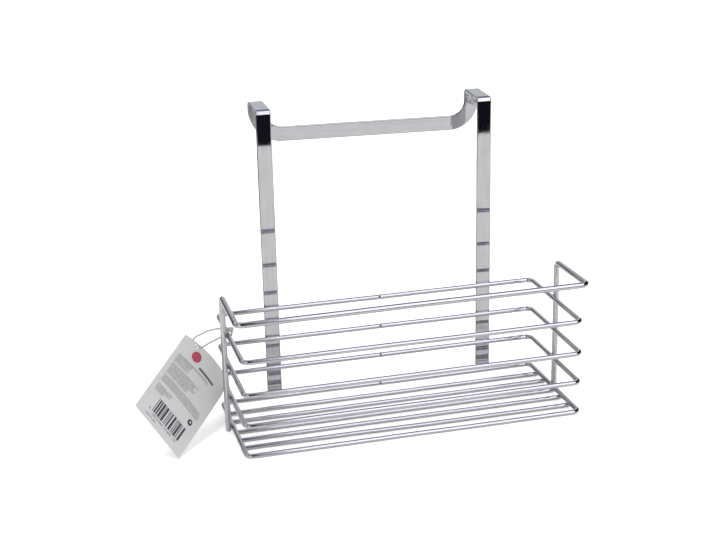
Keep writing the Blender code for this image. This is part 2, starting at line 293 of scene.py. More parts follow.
def printed_card():
    """Generic print: rows of broken grey rules, a plain dark red disc and a block of upright bars."""
    made, n, shader, base = paper("printed_card")
    a = n.math("MULTIPLY", n.attribute("card_across"), 1000.0)
    d = n.math("MULTIPLY", n.attribute("card_down"), 1000.0)

    def cell(value, size):
        return n.math("FLOOR", n.math("DIVIDE", value, size))

    def white(x, y):
        node = n.tree.nodes.new("ShaderNodeTexWhiteNoise")
        node.noise_dimensions = "2D"
        n.feed(node.inputs["Vector"], n.vector(x, y))
        return node.outputs["Value"]

    pitch = 1.55
    row = cell(d, pitch)
    in_row = n.math("FRACT", n.math("DIVIDE", d, pitch))
    words = n.math("GREATER_THAN", white(cell(a, 0.40), row), 0.34)
    rules = n.math("MULTIPLY", n.math("LESS_THAN", in_row, 0.56), words)
    ragged = n.math("MULTIPLY", white(row, 7.0), 4.5)

    ink = None

    def add(mask):
        nonlocal ink
        ink = mask if ink is None else n.math("MAXIMUM", ink, mask)

    for right, top, bottom in (
        (45.5, 20.15, 21.7),
        (26.0, 21.7, 29.4),
        (39.5, 31.0, 38.7),
        (34.5, 38.7, 43.3),
        (58.5, 44.9, 52.6),
        (24.0, 55.8, 60.4),
        (19.5, 60.4, 63.5),
    ):
        inside = n.math(
            "MULTIPLY",
            n.between(d, top, bottom),
            n.between(a, 5.0, n.math("SUBTRACT", right, ragged)),
        )
        dark = (0.30, 0.30) if bottom - top < 2 * pitch else (0.30, 0.19)
        add(n.math("MULTIPLY", inside, n.math("MULTIPLY_ADD", rules, *dark)))

    def rectangle(left, right, top, bottom):
        return n.math("MULTIPLY", n.between(a, left, right), n.between(d, top, bottom))

    add(n.math("MULTIPLY", rectangle(27.4, 48.4, 16.0, 18.0), 0.9))
    add(n.math("MULTIPLY", n.math("MULTIPLY", rectangle(10.3, 24.2, 84.9, 85.9), words), 0.8))

    bars = n.tree.nodes.new("ShaderNodeValToRGB")
    bars.color_ramp.interpolation = "CONSTANT"
    n.feed(bars.inputs[0], n.spread(a, 15.2, 52.2, 0.0, 1.0))
    dice = random.Random(29)
    widths = [dice.choice(((0.8, 1.1, 1.9, 2.8), (0.8, 1.0, 1.7))[i % 2]) for i in range(29)]
    elements = bars.color_ramp.elements
    while len(elements) < len(widths):
        elements.new(1.0)
    reach = 0.0
    for number, (element, width) in enumerate(zip(elements, widths)):
        element.position = reach / sum(widths)
        shade = 1.0 if number % 2 == 0 else 0.0
        element.color = (shade, shade, shade, 1)
        reach += width
    block = rectangle(15.2, 52.2, 65.8, 80.0)
    add(n.math("MULTIPLY", n.math("MULTIPLY", block, bars.outputs[0]), 0.96))
    digits = n.math("GREATER_THAN", white(cell(a, 0.8), 3.0), 0.30)
    add(n.math("MULTIPLY", n.math("MULTIPLY", rectangle(16.5, 50.5, 80.9, 83.1), digits), 0.42))
    add(n.math("MULTIPLY", rectangle(11.3, 13.1, 78.6, 81.0), 0.42))

    def disc(x, y, radius):
        far = n.math(
            "ADD",
            n.math("POWER", n.math("SUBTRACT", a, x), 2.0),
            n.math("POWER", n.math("SUBTRACT", d, y), 2.0),
        )
        return n.math("LESS_THAN", far, radius * radius)

    spot = n.math("SUBTRACT", disc(51.6, 58.2, 2.8), disc(51.9, 57.9, 1.0), clamp=True)
    add(spot)

    printed = n.mix(ink, base, (0.030, 0.030, 0.055, 1))
    seal = disc(19.7, 11.2, 4.9)
    colour = n.mix(seal, printed, (0.36, 0.045, 0.085, 1))
    n.feed(shader.inputs["Base Color"], colour)
    return made


def floor_paint(name, first, second, lit=0.0):
    made, n, shader = new_material(name)
    n.feed(shader.inputs["Base Color"], n.mix(n.noise(place_of(n), 3.0, 2.0), first, second))
    shader.inputs["Roughness"].default_value = 0.9
    shader.inputs["Specular IOR Level"].default_value = 0.0
    shader.inputs["Emission Color"].default_value = (1.0, 1.0, 1.0, 1)
    shader.inputs["Emission Strength"].default_value = lit
    return made


WIRE, BAR, WELD, CLEAR = chromed_wire(), chromed_bar(), weld_metal(), clear_plastic()
PRINTED, PLAIN_CARD = printed_card(), plain_card()
SWEEP = floor_paint("sweep", (0.655, 0.655, 0.655, 1), (0.665, 0.665, 0.665, 1), 0.16)
TABLE = floor_paint("table", (0.715, 0.715, 0.715, 1), (0.735, 0.735, 0.735, 1))

# ---------------------------------------------------------------- shape helpers


def add_object(name, bm, materials, sharp=math.radians(50), move=True):
    if move:
        bmesh.ops.translate(bm, verts=bm.verts[:], vec=-ORIGIN)
    bmesh.ops.recalc_face_normals(bm, faces=bm.faces[:])
    mesh = bpy.data.meshes.new(name)
    bm.to_mesh(mesh)
    bm.free()
    mesh.shade_smooth()
    mesh.set_sharp_from_angle(angle=sharp)
    for material in materials:
        mesh.materials.append(material)
    obj = bpy.data.objects.new(name, mesh)
    bpy.context.scene.collection.objects.link(obj)
    return obj


def rounded(corners, radius, steps, closed=False, stride=8 * MM):
    """The path through the corners, each bent to the radius, with a point every stride between."""
    points = [Vector(corner) for corner in corners]
    count = len(points)
    path = [] if closed else [points[0]]
    for i in range(count) if closed else range(1, count - 1):
        before = (points[i - 1] - points[i]).normalized()
        after = (points[(i + 1) % count] - points[i]).normalized()
        angle = before.angle(after)
        centre = points[i] + (before + after).normalized() * (radius / math.sin(angle / 2))
        start = points[i] + before * (radius / math.tan(angle / 2)) - centre
        end = points[i] + after * (radius / math.tan(angle / 2)) - centre
        turn = math.pi - angle
        for k in range(steps + 1):
            t = k / steps
            path.append(
                centre
                + start * (math.sin((1 - t) * turn) / math.sin(turn))
                + end * (math.sin(t * turn) / math.sin(turn))
            )
    if not closed:
        path.append(points[-1])
    filled = []
    ends = path + [path[0]] if closed else path
    for first, second in zip(ends, ends[1:]):
        filled.append(first)
        parts = int((second - first).length / stride)
        for k in range(1, parts):
            filled.append(first.lerp(second, k / parts))
    if not closed:
        filled.append(path[-1])
    return filled


def bowed(path, seed, amount, directions):
    """The path with the slight bow and waver that straightened wire keeps."""
    dice = random.Random(seed)
    waves = [
        (dice.uniform(0.75, 1.3) * length, dice.uniform(0, 2 * math.pi), size, direction)
        for direction in directions
        for length, size in ((190 * MM, 1.0), (83 * MM, 0.45), (37 * MM, 0.12))
    ]
    out = []
    for point in path:
        x = point.x + 0.31 * point.y
        shift = Vector()
        for length, phase, size, direction in waves:
            shift += Vector(direction) * (amount * size * math.sin(2 * math.pi * x / length + phase))
        out.append(point + shift)
    return out


def tube(name, path, radius, closed=False, sides=28, swell=None, material=None):
    """A round wire along the path. swell gives the share of the radius at a point."""
    count = len(path)
    tangents = []
    for i, point in enumerate(path):
        before = path[i - 1] if closed or i else point
        after = path[(i + 1) % count] if closed or i < count - 1 else point
        one, two = (point - before), (after - point)
        one = one.normalized() if one.length > 0 else Vector()
        two = two.normalized() if two.length > 0 else Vector()
        tangents.append((one + two).normalized())
    side = Vector((0, 0, 1)) if abs(tangents[0].z) < 0.8 else Vector((1, 0, 0))
    side = (side - tangents[0] * side.dot(tangents[0])).normalized()
    sides_at = [side]
    for i in range(1, count + (1 if closed else 0)):
        turn = tangents[i - 1].rotation_difference(tangents[i % count])
        side = turn @ side
        side = (side - tangents[i % count] * side.dot(tangents[i % count])).normalized()
        sides_at.append(side)
    if closed:
        last, first, axis = sides_at.pop(), sides_at[0], tangents[0]
        twist = math.atan2(last.cross(first).dot(axis), last.dot(first))
        sides_at = [
            Matrix.Rotation(twist * i / count, 3, tangents[i]) @ s for i, s in enumerate(sides_at)
        ]
    bm = bmesh.new()
    rings = []

    def ring(at, tangent, s, r):
        other = tangent.cross(s)
        turn = 2 * math.pi / sides
        return [
            bm.verts.new(at + (s * math.cos(turn * k) + other * math.sin(turn * k)) * r)
            for k in range(sides)
        ]

    if not closed:
        rings += [
            ring(path[0] + tangents[0] * (radius * push), tangents[0], sides_at[0], radius * share)
            for push, share in ((0.0, 0.72), (0.05, 0.88))
        ]
    for i, point in enumerate(path):
        share = swell(point) if swell else 1.0
        if not closed and i in (0, count - 1):
            push = tangents[i] * (radius * (0.22 if i == 0 else -0.22))
            rings.append(ring(point + push, tangents[i], sides_at[i], radius * share))
        else:
            rings.append(ring(point, tangents[i], sides_at[i], radius * share))
    if not closed:
        rings += [
            ring(path[-1] - tangents[-1] * (radius * push), tangents[-1], sides_at[-1], radius * share)
            for push, share in ((0.05, 0.88), (0.0, 0.72))
        ]
    pairs = list(zip(rings, rings[1:] + rings[:1]))
    for first, second in pairs if closed else pairs[:-1]:
        for k in range(sides):
            j = (k + 1) % sides
            bm.faces.new((first[k], first[j], second[j], second[k]))
    if not closed:
        bm.faces.new(list(reversed(rings[0])))
        bm.faces.new(rings[-1])
    return add_object(name, bm, [material or WIRE], math.radians(60))


def nugget(bm, centre, flat, size, seed=0):
    """One weld bead: a low uneven cushion, flat along its normal."""
    dice = random.Random(seed)
    flat = Vector(flat).normalized()
    turn = Vector((0, 0, 1)).rotation_difference(flat).to_matrix().to_4x4()
    made = bmesh.ops.create_uvsphere(bm, u_segments=20, v_segments=12, radius=1.0)
    phases = [dice.uniform(0, 6.28) for _ in range(4)]
    for vert in made["verts"]:
        around = math.atan2(vert.co.y, vert.co.x)
        lump = 1 + 0.07 * math.sin(2 * around + phases[0]) + 0.05 * math.sin(3 * around + phases[1])
        vert.co = Vector((vert.co.x * size[0] * lump, vert.co.y * size[1] * lump, vert.co.z * size[2]))
        vert.co = turn @ vert.co + Vector(centre)


# ---------------------------------------------------------------- basket

LOOP_WIRE, RAIL_WIRE, FLOOR_WIRE = 4.4 * MM, 5.2 * MM, 4.0 * MM
HALF_WIDTH, DEPTH = 149.8 * MM, 117.25 * MM
LOOPS = {
    "bottom_loop": 0.0,
    "lower_loop": 28.5 * MM,
    "middle_loop": 57.0 * MM,
    "upper_loop": 85.8 * MM,
}
MIDDLE_EXTRA = 1.2 * MM
FRONT_RISE = {"bottom_loop": (0.9 * MM, 0.4 * MM), "middle_loop": (-0.4 * MM, -0.4 * MM)}
BUTT_WELD_X = {
    "bottom_loop": 1.0 * MM,
    "lower_loop": 1.6 * MM,
    "middle_loop": 2.0 * MM,
    "upper_loop": 1.4 * MM,
}
FLOOR_HEIGHT, FLOOR_HALF = -3.2 * MM, 150.5 * MM
FLOOR_ENDS = ((-18.2, -17.9), (-36.5, -35.7), (-58.5, -58.3), (-75.0, -75.0), (-91.3, -94.0))
POST_LEFT, POST_RIGHT, POST_FOOT = (-154.1 * MM, -53.0 * MM), (153.5 * MM, -51.2 * MM), -3.2 * MM
POST_LEFT_TOP, POST_RIGHT_TOP, RAIL_FRONT = 121.7 * MM, 119.2 * MM, -119.7 * MM
RAIL_FRONT_LEFT, RAIL_FRONT_RIGHT = 119.95 * MM, 120.65 * MM
LEG_LEFT, LEG_RIGHT, LEG_Y, LEG_FOOT = -100.2 * MM, 102.5 * MM, 3.5 * MM, 5.0 * MM


def make_basket():
    w = HALF_WIDTH
    for seed, (name, z) in enumerate(LOOPS.items(), 11):
        deep = DEPTH + (MIDDLE_EXTRA if name == "middle_loop" else 0)
        left, right = FRONT_RISE.get(name, (0.0, 0.0))
        corners = [(-w, 0, z), (w, 0, z), (w, -deep, z + right), (-w, -deep, z + left)]
        path = rounded(corners, 5.5 * MM, 16, closed=True, stride=4 * MM)
        seam = BUTT_WELD_X[name]

        def swell(point, seam=seam):
            if point.y < -5 * MM:
                return 1.0
            away = abs(point.x - seam) / (1.3 * MM)
            return 1.0 + 0.09 * math.exp(-away * away)

        extra = []
        for a, b in zip(path, path[1:] + path[:1]):
            extra.append(a)
            if abs(a.y) < 1e-6 and abs(b.y) < 1e-6 and min(a.x, b.x) - 4 * MM < seam < max(a.x, b.x) + 4 * MM:
                extra += [a.lerp(b, k / 6) for k in range(1, 6)]
        wire = tube(
            name + "_wire",
            bowed(extra, seed, 0.07 * MM, ((0, 1, 0), (0, 0, 1))),
            LOOP_WIRE / 2,
            closed=True,
            swell=swell,
        )
        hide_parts(name)
        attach(wire, "caddy")

    for number, (left, right) in enumerate(FLOOR_ENDS, 1):
        first = Vector((-FLOOR_HALF, left * MM, FLOOR_HEIGHT))
        second = Vector((FLOOR_HALF, right * MM, FLOOR_HEIGHT))
        path = [first.lerp(second, k / 60) for k in range(61)]
        wire = tube(
            f"floor_wire_{number}_rod",
            bowed(path, 30 + number, 0.09 * MM, ((0, 1, 0), (0, 0, 1))),
            FLOOR_WIRE / 2,
        )
        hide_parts(f"floor_wire_{number}")
        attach(wire, "caddy")

    corners = [
        (*POST_LEFT, POST_FOOT),
        (*POST_LEFT, POST_LEFT_TOP),
        (POST_LEFT[0], RAIL_FRONT, RAIL_FRONT_LEFT),
        (POST_RIGHT[0], RAIL_FRONT, RAIL_FRONT_RIGHT),
        (*POST_RIGHT, POST_RIGHT_TOP),
        (*POST_RIGHT, POST_FOOT),
    ]
    path = rounded(corners, 5.5 * MM, 16, stride=5 * MM)
    rail = tube("top_rail_wire", bowed(path, 51, 0.06 * MM, ((0, 1, 0), (0, 0, 1))), RAIL_WIRE / 2, sides=32)
    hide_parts("top_rail")
    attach(rail, "caddy")

    bm = bmesh.new()
    seed = 0
    for z in LOOPS.values():
        for sign, (x, y) in ((-1, POST_LEFT), (1, POST_RIGHT)):
            seed += 1
            touch = sign * (HALF_WIDTH + abs(x)) / 2
            nugget(bm, (touch, y, z), (1, 0, 0), (1.75 * MM, 1.75 * MM, 0.75 * MM), seed)
        for x in (LEG_LEFT, LEG_RIGHT):
            for shift in (-3.4 * MM, 3.4 * MM):
                seed += 1
                if z < 1 * MM:
                    continue
                nugget(bm, (x + shift, 2.3 * MM, z), (0, 1, 0), (1.5 * MM, 0.95 * MM, 0.62 * MM), seed)
    for left, right in FLOOR_ENDS:
        for sign in (-1, 1):
            seed += 1
            share = 0.5 + 0.5 * sign * HALF_WIDTH / FLOOR_HALF
            y = (left + (right - left) * share) * MM
            nugget(
                bm, (sign * HALF_WIDTH, y, -1.7 * MM), (0, 0, 1), (1.5 * MM, 1.5 * MM, 0.6 * MM), seed
            )
    beads = add_object("weld_beads", bm, [WELD], math.radians(80))
    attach(beads, "caddy")


make_basket()

# ---------------------------------------------------------------- hanger

BAR_WIDTH, BAR_THICKNESS = 13.6 * MM, 2.0 * MM
BAR_EDGE_ACROSS, BAR_EDGE_THROUGH = 1.0 * MM, 0.8 * MM
HOOK_DEPTH, HOOK_FRONT_BEND, HOOK_BACK_BEND = 35.7 * MM, 3.7 * MM, 2.1 * MM
HOOK_TOP_LEFT, HOOK_TOP_RIGHT, HOOK_TILT = 267.8 * MM, 264.05 * MM, math.radians(2.2)
RIGHT_TWIST = math.radians(-2.0)
CROSSBAR_LEFT, CROSSBAR_RIGHT = 236.9 * MM, 234.0 * MM
CROSSBAR_BEND_LEFT, CROSSBAR_BEND_RIGHT = 25.0 * MM, 20.0 * MM


def bar_stations():
    """Centre, width direction, thickness direction and scuffing along the bar.

    The two plates rise towards the door and the part behind them leans with them.
    """

    def half(x, side, top, bar_height, bend, twist):
        wide = Vector((1, 0, 0))
        back, tilt = LEG_Y + HOOK_DEPTH, HOOK_TILT
        rf, rb = HOOK_FRONT_BEND, HOOK_BACK_BEND
        zb = top - rb
        yb = back - math.tan(tilt) * (zb + rb * math.sin(tilt) - bar_height) - rb * math.cos(tilt)
        yf = LEG_Y + rf
        zf = zb - (rf - rb + (yb - yf) * math.sin(tilt)) / math.cos(tilt)
        stations = []
        for k in range(64):
            z = LEG_FOOT + (zf - LEG_FOOT) * k / 64
            # A leg keeps a little twist below its hook.
            turned = twist * min(max((zf - 42 * MM - z) / (60 * MM), 0.0), 1.0)
            face = Vector((math.sin(turned), -math.cos(turned), 0))
            stations.append((Vector((x, LEG_Y, z)), Vector((-face.y, face.x, 0)), face, 0.0))
        for k in range(17):
            a = (math.pi / 2 - tilt) * k / 16
            out = Vector((0, -math.cos(a), math.sin(a)))
            stations.append((Vector((x, yf, zf)) + out * rf, wide, out, 0.0))
        first, out = stations[-1][0], Vector((0, -math.sin(tilt), math.cos(tilt)))
        second = Vector((x, yb, zb)) + out * rb
        for k in range(1, 6):
            stations.append((first.lerp(second, k / 6), wide, out, 0.0))
        for k in range(13):
            a = math.pi / 2 * k / 12 - tilt
            out = Vector((0, math.sin(a), math.cos(a)))
            stations.append((Vector((x, yb, zb)) + out * rb, wide, out, 0.0))
        climb = Vector((0, -math.sin(tilt), math.cos(tilt)))
        first, second = stations[-1][0], Vector((x, back, bar_height)) + climb * bend
        for k in range(1, 10):
            stain = 0.0 if side > 0 else -min(k / 4, 1.0)
            stations.append((first.lerp(second, k / 10), wide, out, stain))
        steps = 40
        for k in range(steps + 1):
            t = k / steps
            a = math.pi / 2 * t
            if side < 0:
                scuff = min(max((t - 0.62) / 0.05, 0.0), 1.0) * min(max((0.975 - t) / 0.02, 0.0), 1.0)
                scuff = scuff or -min(max((0.16 - t) / 0.08, 0.0), 1.0)
            else:
                scuff = min(max((0.72 - t) / 0.10, 0.0), 1.0)
            here = tilt * (1 - 0.8 * max(scuff, 0.0))
            thick, up = Vector((0, math.cos(here), math.sin(here))), Vector((0, -math.sin(here), math.cos(here)))
            at = Vector((x + side * bend * (1 - math.cos(a)), back, bar_height))
            at += climb * (bend * (1 - math.sin(a)))
            radial = Vector((-side * math.cos(a), 0, 0)) - up * math.sin(a)
            stations.append((at, -side * radial, thick, scuff))
        return stations

    left = half(LEG_LEFT, 1, HOOK_TOP_LEFT, CROSSBAR_LEFT, CROSSBAR_BEND_LEFT, 0.0)
    right = half(LEG_RIGHT, -1, HOOK_TOP_RIGHT, CROSSBAR_RIGHT, CROSSBAR_BEND_RIGHT, RIGHT_TWIST)
    path = left
    start, stop = left[-1][0], right[-1][0]
    for k in range(1, 24):
        path.append((start.lerp(stop, k / 24), left[-1][1], left[-1][2], 0.0))
    return path + [(at, -wide, thick, scuff) for at, wide, thick, scuff in reversed(right)]


def make_hanger():
    w, t = BAR_WIDTH / 2, BAR_THICKNESS / 2
    ea, et = BAR_EDGE_ACROSS, BAR_EDGE_THROUGH
    section = []
    for cx, cy, start in ((w - ea, t - et, 0), (-w + ea, t - et, 90), (-w + ea, -t + et, 180), (w - ea, -t + et, 270)):
        for k in range(6):
            a = math.radians(start + 18 * k)
            section.append((cx + ea * math.cos(a), cy + et * math.sin(a)))
        # Two points close to the rounding keep the shading of the flat between them flat.
        near, far = 0.08 * MM, (2 * (t - et) if start in (90, 270) else 2 * (w - ea)) - 0.08 * MM
        on = {0: (-1, 0), 90: (0, -1), 180: (1, 0), 270: (0, 1)}[start]
        last = section[-1]
        section += [(last[0] + on[0] * step, last[1] + on[1] * step) for step in (near, far)]
    bm = bmesh.new()
    along_of, across_of, scuff_of, painted_edge_shade_of = {}, {}, {}, {}
    rings, travelled, last = [], 0.0, None
    dice = random.Random(5)
    phases = [dice.uniform(0, 6.28) for _ in range(6)]
    stations = bar_stations()
    last_ring = len(stations) - 1
    for i, (at, wide, thick, scuff) in enumerate(stations):
        if last is not None:
            travelled += (at - last).length
        last = at
        waver = 0.0018 * MM * math.sin(travelled / 0.011 + phases[0]) + 0.0045 * MM * math.sin(
            travelled / 0.031 + phases[1]
        )
        shares = [(1.0, 0.0)]
        if i == 0:
            shares = [(0.88, 0.0), (1.0, 0.3)]
        elif i == last_ring:
            shares = [(1.0, -0.3), (0.88, 0.0)]
        for share, push in shares:
            step = Vector((0, 0, 1)) * (0.35 * MM if push else 0.0)
            inner = 0.0 if share == 1.0 else 0.35 * MM
            ring = []
            for su, sv in section:
                pu = su - math.copysign(inner, su)
                pv = sv - math.copysign(min(inner, abs(sv)), sv)
                vert = bm.verts.new(at + step + wide * pu + thick * (pv + waver))
                along_of[vert] = travelled
                across_of[vert] = su
                scuff_of[vert] = scuff
                # Share of painted edge shade: full on the parts behind the legs and low on the legs, fading to none at
                # the tops of the legs and over the hooks' front bends.
                painted_edge_shade_of[vert] = 1.0 if at.y > LEG_Y + 10 * MM else min(max((236 * MM - at.z) / (8 * MM), 0.0), 1.0)
                ring.append(vert)
            rings.append(ring)
    count = len(section)
    for first, second in zip(rings, rings[1:]):
        for i in range(count):
            j = (i + 1) % count
            bm.faces.new((first[i], first[j], second[j], second[i]))
    bm.faces.new(rings[0])
    bm.faces.new(list(reversed(rings[-1])))
    bm.verts.index_update()
    along = [along_of[v] for v in bm.verts]
    across = [across_of[v] for v in bm.verts]
    scuffs = [scuff_of[v] for v in bm.verts]
    painted_edge_shade = [painted_edge_shade_of[v] for v in bm.verts]
    bar = add_object("hanger_bar", bm, [BAR], math.radians(50))
    for name, values in (("bar_along", along), ("bar_across", across), ("bar_scuff", scuffs), ("bar_painted_edge_shade", painted_edge_shade)):
        layer = bar.data.attributes.new(name, "FLOAT", "POINT")
        layer.data.foreach_set("value", values)
    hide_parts("hanger_strap")
    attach(bar, "caddy")


make_hanger()

# ---------------------------------------------------------------- swing tag

CARD_WIDTH, CARD_HEIGHT, CARD_THICKNESS = 63 * MM, 90 * MM, 0.4 * MM
CARD_FOOT = Vector((-204.1, -91.3, -4.7)) * MM
CARD_ACROSS, CARD_DOWN = Vector((0.5245, -0.0070, -0.8514)), Vector((-0.5986, -0.7142, -0.3629))
CARD_SLOPE, CARD_CURVATURE, CARD_FADE = 0.519, 13.7, 1.54
CURL_START, CURL_RADIUS, CURL_ANGLE, CURL_AXIS = 39.5 * MM, 9 * MM, 0.575, (0.616, 0.788)
HOLE_ACROSS, HOLE_DOWN, HOLE_DIAMETER = 14.0 * MM, 3.4 * MM, 3.6 * MM
THREAD = 1.6 * MM
LOCK_FRONT, LOCK_BACK = -50.2 * MM, -47.6 * MM


def card_point(across, down):
    e, g = CARD_ACROSS.normalized(), CARD_DOWN.normalized()
    face = g.cross(e).normalized()
    over = Vector((CURL_AXIS[1], -CURL_AXIS[0]))
    beyond = max(across * over.x + down * over.y - CURL_START, 0.0)
    arc = CURL_RADIUS * CURL_ANGLE
    if beyond < arc:
        advance = CURL_RADIUS * math.sin(beyond / CURL_RADIUS)
        back = CURL_RADIUS * (1 - math.cos(beyond / CURL_RADIUS))
    else:
        advance = CURL_RADIUS * math.sin(CURL_ANGLE) + (beyond - arc) * math.cos(CURL_ANGLE)
        back = CURL_RADIUS * (1 - math.cos(CURL_ANGLE)) + (beyond - arc) * math.sin(CURL_ANGLE)
    fade = max(1 - down / CARD_HEIGHT, 0.0) ** CARD_FADE
    slope, bend = CARD_SLOPE, CARD_CURVATURE
    rise = (slope * across - bend / 2 * across**2) * fade
    shorter = (slope**2 * across - slope * bend * across**2 + bend**2 * across**3 / 3) * fade**2 / 2
    slip = advance - beyond
    return (
        CARD_FOOT
        + e * (across - CARD_WIDTH - shorter + slip * over.x)
        + g * (down - CARD_HEIGHT + slip * over.y)
        + face * (rise - back)
    )


def card_normal(across, down):
    d = 0.25 * MM
    u = card_point(across + d, down) - card_point(across - d, down)
    v = card_point(across, down + d) - card_point(across, down - d)
    return v.cross(u).normalized()


def make_card():
    """The card as a thin shell with a punched hole, from a grid that closes round the hole."""
    columns, rows = 63, 90
    left, right, bottom = 11, 17, 7
    bm = bmesh.new()
    where = {}

    def pair(a, d):
        normal = card_normal(min(max(a, MM), CARD_WIDTH - MM), min(max(d, MM), CARD_HEIGHT - MM))
        at = card_point(a, d)
        made = []
        for sign in (1, -1):
            vert = bm.verts.new(at + normal * (sign * CARD_THICKNESS / 2))
            where[vert] = (a, d)
            made.append(vert)
        return made

    grid = {}
    for i in range(columns + 1):
        for j in range(rows + 1):
            if left < i < right and 0 < j < bottom:
                continue
            grid[i, j] = pair(CARD_WIDTH * i / columns, CARD_HEIGHT * j / rows)

    def quad(p, q, r, s):
        face = bm.faces.new((p[0], q[0], r[0], s[0]))
        face.material_index = 0
        bm.faces.new((s[1], r[1], q[1], p[1])).material_index = 1

    for i in range(columns):
        for j in range(rows):
            if left <= i < right and j < bottom:
                continue
            quad(grid[i, j], grid[i, j + 1], grid[i + 1, j + 1], grid[i + 1, j])
    edge = (
        [(i, 0) for i in range(left, right)]
        + [(right, j) for j in range(bottom)]
        + [(i, bottom) for i in range(right, left, -1)]
        + [(left, j) for j in range(bottom, 0, -1)]
    )
    radius = HOLE_DIAMETER / 2
    inner, middle = [], []
    for i, j in edge:
        a, d = CARD_WIDTH * i / columns - HOLE_ACROSS, CARD_HEIGHT * j / rows - HOLE_DOWN
        far = math.hypot(a, d)
        for share, ring in ((0.0, inner), (0.35, middle)):
            reach = radius + (far - radius) * share
            ring.append(pair(HOLE_ACROSS + a / far * reach, HOLE_DOWN + d / far * reach))
    outer = [grid[key] for key in edge]
    for first, second in ((inner, middle), (middle, outer)):
        for k in range(len(edge)):
            m = (k + 1) % len(edge)
            quad(first[k], first[m], second[m], second[k])
    for k in range(len(edge)):
        m = (k + 1) % len(edge)
        bm.faces.new((inner[m][0], inner[k][0], inner[k][1], inner[m][1])).material_index = 1
    rim = (
        [(i, 0) for i in range(columns)]
        + [(columns, j) for j in range(rows)]
        + [(i, rows) for i in range(columns, 0, -1)]
        + [(0, j) for j in range(rows, 0, -1)]
    )
    for k, here in enumerate(rim):
        there = rim[(k + 1) % len(rim)]
        bm.faces.new(
            (grid[here][0], grid[there][0], grid[there][1], grid[here][1])
        ).material_index = 1
    bm.verts.index_update()
    across = [where[v][0] for v in bm.verts]
    down = [where[v][1] for v in bm.verts]
    card = add_object("tag_card_print", bm, [PRINTED, PLAIN_CARD], math.radians(50))
    for name, values in (("card_across", across), ("card_down", down)):
        layer = card.data.attributes.new(name, "FLOAT", "POINT")
        layer.data.foreach_set("value", values)
    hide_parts("tag_card")
    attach(card, "tag_card")


def smooth_ring(points, per_span):
    count = len(points)
    path = []
    for i in range(count):
        p0, p1, p2, p3 = (points[(i + k - 1) % count] for k in range(4))
        for k in range(per_span):
            t = k / per_span
            path.append(
                0.5
                * (
                    2 * p1
                    + (p2 - p0) * t
                    + (2 * p0 - 5 * p1 + 4 * p2 - p3) * t**2
                    + (3 * p1 - p0 - 3 * p2 + p3) * t**3
                )
            )
    return path


def make_loop():
    hole, out = card_point(HOLE_ACROSS, HOLE_DOWN), card_normal(HOLE_ACROSS, HOLE_DOWN)
    under = (
        (-170.6, -36.6, 71.8),
        (-165.3, -39.2, 75.6),
        (-160.5, -43.2, 79.4),
        (-157.0, -46.6, 82.4),
        (-154.0, -48.4, 83.2),
        (-151.0, -48.9, 82.8),
        (-148.0, -48.9, 83.1),
        (-146.3, -48.9, 85.0),
        (-146.2, -48.9, 87.8),
    )
    over = (
        (-148.4, -48.9, 90.2),
        (-151.8, -48.8, 91.1),
        (-155.1, -48.0, 91.4),
        (-159.3, -44.4, 90.1),
        (-165.0, -38.6, 87.0),
        (-170.5, -33.2, 82.6),
        (-174.5, -28.6, 79.0),
        (-176.7, -26.6, 75.6),
        (-177.3, -27.6, 72.6),
    )
    points = [hole, hole + out * (2.0 * MM)]
    points += [Vector(p) * MM for p in under + over]
    points += [hole - out * (2.0 * MM)]
    thread = tube(
        "tag_loop_thread", smooth_ring(points, 8), THREAD / 2, closed=True, sides=16, material=CLEAR
    )
    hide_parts("tag_loop")
    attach(thread, "tag_loop")

    outline = (
        (-152.2, 91.9),
        (-152.0, 89.0),
        (-148.6, 88.7),
        (-146.9, 86.8),
        (-145.6, 86.8),
        (-144.2, 90.6),
        (-144.6, 91.7),
    )
    bm = bmesh.new()
    front = [bm.verts.new(Vector((x * MM, LOCK_FRONT, z * MM))) for x, z in outline]
    back = [bm.verts.new(Vector((x * MM, LOCK_BACK, z * MM))) for x, z in outline]
    bm.faces.new(front)
    bm.faces.new(list(reversed(back)))
    for i in range(len(outline)):
        j = (i + 1) % len(outline)
        bm.faces.new((front[j], front[i], back[i], back[j]))
    bmesh.ops.recalc_face_normals(bm, faces=bm.faces[:])
    bmesh.ops.bevel(bm, geom=bm.edges[:], offset=0.42 * MM, segments=4, affect="EDGES", profile=0.5)
    head = add_object("tag_loop_lock", bm, [CLEAR], math.radians(40))
    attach(head, "tag_loop")


make_card()
make_loop()

# ---------------------------------------------------------------- studio

TABLE_Z = cad_box[0][2] - 0.0002
TABLE_FRONT, TABLE_SKEW = -0.918 - ORIGIN.y, 0.104


def card_of_light(name, corners, material, **seen):
    bm = bmesh.new()
    bm.faces.new([bm.verts.new(Vector(corner)) for corner in corners])
    mesh = bpy.data.meshes.new(name)
    bm.to_mesh(mesh)
    bm.free()
    mesh.materials.append(material)
    obj = bpy.data.objects.new(name, mesh)
    bpy.context.scene.collection.objects.link(obj)
    for key, value in seen.items():
        setattr(obj, "visible_" + key, value)
    return obj


